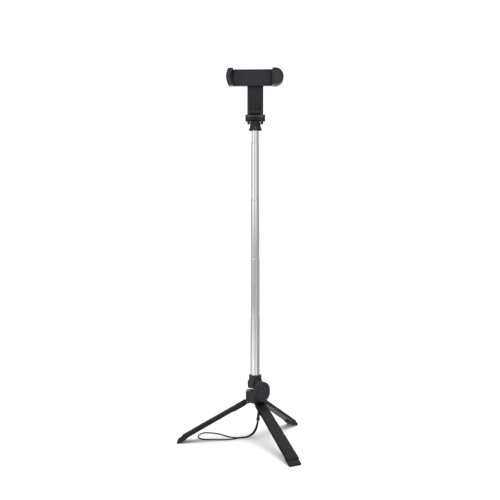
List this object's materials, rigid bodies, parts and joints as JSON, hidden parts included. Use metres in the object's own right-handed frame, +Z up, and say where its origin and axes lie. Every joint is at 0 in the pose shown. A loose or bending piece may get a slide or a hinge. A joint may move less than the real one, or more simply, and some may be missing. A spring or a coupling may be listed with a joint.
{
  "type": "selfie stick",
  "caption": "Selfie stick standing on its opened tripod handle: telescopic steel column, tilting phone clamp with a sliding jaw, clip-off shutter remote on the hub and a wrist strap.",
  "frame": {"origin": "on the floor, under the axis of the telescopic column", "axes": "+Z up along the column; the phone clamp faces -Y; its sliding jaw opens towards +X; one leg points to -X"},
  "size_m": [0.194, 0.224, 0.5843],
  "materials": {
    "black_plastic": "satin moulded ABS, fine grain",
    "black_panel": "finely textured ABS cover",
    "nylon": "plain acetal",
    "rubber_foot": "matte moulded rubber",
    "rubber_grip": "matte ribbed silicone rubber",
    "tube_steel": "bright drawn stainless tube",
    "pin_steel": "plain zinc-plated steel",
    "screw_steel": "dark zinc-plated steel",
    "spring_steel": "spring wire",
    "remote_plastic": "satin moulded ABS, charcoal",
    "remote_trim": "satin charcoal trim",
    "remote_button": "satin key cap",
    "circuit_board": "green lacquered laminate",
    "cell_steel": "nickel-plated can",
    "strap_braid": "black braided polyester cord",
    "strap_sleeve": "black moulded sleeve"
  },
  "bodies": {
    "hub": {"hub_frame": "black_plastic", "collar": "black_plastic", "collar_bush": "nylon", "collar_screws": "screw_steel", "leg_pins": "pin_steel", "remote_dock": "black_plastic", "strap_anchor": "pin_steel", "strap_cord": "strap_braid", "strap_sleeve": "strap_sleeve", "strap_hitch": "strap_braid"},
    "left_leg": {"leg_left": "black_plastic", "leg_cover_left": "black_panel", "foot_left": "rubber_foot"},
    "front_leg": {"leg_front": "black_plastic", "leg_cover_front": "black_panel", "foot_front": "rubber_foot"},
    "back_leg": {"leg_back": "black_plastic", "leg_cover_back": "black_panel", "foot_back": "rubber_foot"},
    "stage_1": {"tube_1": "tube_steel", "tube_stop": "nylon"},
    "stage_2": {"tube_2": "tube_steel"},
    "stage_3": {"tube_3": "tube_steel"},
    "stage_4": {"tube_4": "tube_steel"},
    "stage_5": {"tube_5": "tube_steel", "column_head": "black_plastic", "head_rivet": "screw_steel"},
    "neck_arm": {"neck": "black_plastic", "neck_cover": "black_panel", "neck_screws": "screw_steel", "tilt_bolt": "black_panel", "tilt_nut": "black_panel", "tilt_washers": "nylon"},
    "clamp": {"clamp_back": "black_plastic", "clamp_face": "black_plastic", "clamp_screws": "screw_steel", "fixed_jaw": "black_plastic", "fixed_jaw_pad": "rubber_grip", "pivot_screw": "screw_steel", "pivot_washer": "rubber_grip"},
    "jaw": {"sliding_jaw": "black_plastic", "sliding_jaw_pad": "rubber_grip", "jaw_springs": "spring_steel"},
    "remote": {"remote_base": "remote_plastic", "remote_shell": "remote_plastic", "remote_board": "circuit_board", "coin_cell": "cell_steel", "remote_ring": "remote_trim"},
    "shutter": {"remote_button": "remote_button"}
  },
  "joints": [
    {"name": "left_leg_fold", "type": "hinge", "parent": "hub", "child": "left_leg", "pos_m": [-0.01165, 0, 0.068], "axis": [0, -1, 0], "range_deg": [0, 59.5]},
    {"name": "front_leg_fold", "type": "hinge", "parent": "hub", "child": "front_leg", "pos_m": [0.00583, -0.01009, 0.068], "axis": [0.866, 0.5, 0], "range_deg": [0, 59.5]},
    {"name": "back_leg_fold", "type": "hinge", "parent": "hub", "child": "back_leg", "pos_m": [0.00583, 0.01009, 0.068], "axis": [-0.866, 0.5, 0], "range_deg": [0, 59.5]},
    {"name": "tube_1_slide", "type": "slide", "parent": "hub", "child": "stage_1", "axis": [0, 0, -1], "range_m": [0, 0.0873]},
    {"name": "tube_2_slide", "type": "slide", "parent": "stage_1", "child": "stage_2", "axis": [0, 0, -1], "range_m": [0, 0.0935]},
    {"name": "tube_3_slide", "type": "slide", "parent": "stage_2", "child": "stage_3", "axis": [0, 0, -1], "range_m": [0, 0.0908]},
    {"name": "tube_4_slide", "type": "slide", "parent": "stage_3", "child": "stage_4", "axis": [0, 0, -1], "range_m": [0, 0.0866]},
    {"name": "tube_5_slide", "type": "slide", "parent": "stage_4", "child": "stage_5", "axis": [0, 0, -1], "range_m": [-0.075, 0.0167]},
    {"name": "clamp_tilt", "type": "hinge", "parent": "stage_5", "child": "neck_arm", "pos_m": [0, 0, 0.5112], "axis": [1, 0, 0], "range_deg": [-90, 90]},
    {"name": "clamp_turn", "type": "hinge", "parent": "neck_arm", "child": "clamp", "pos_m": [0, 0, 0.5713], "axis": [0, -1, 0], "range_deg": [-90, 90]},
    {"name": "jaw_open", "type": "slide", "parent": "clamp", "child": "jaw", "axis": [1, 0, 0], "range_m": [0, 0.028], "stiffness_N_per_m": 120, "springref_m": -0.012, "deforming": ["jaw_springs"]},
    {"name": "remote_release", "type": "slide", "parent": "hub", "child": "remote", "axis": [0.5, -0.866, 0], "range_m": [0, 0.06]},
    {"name": "shutter_press", "type": "slide", "parent": "remote", "child": "shutter", "axis": [-0.5, 0.866, 0], "range_m": [0, 0.0006], "stiffness_N_per_m": 900, "springref_m": -0.0006}
  ]
}
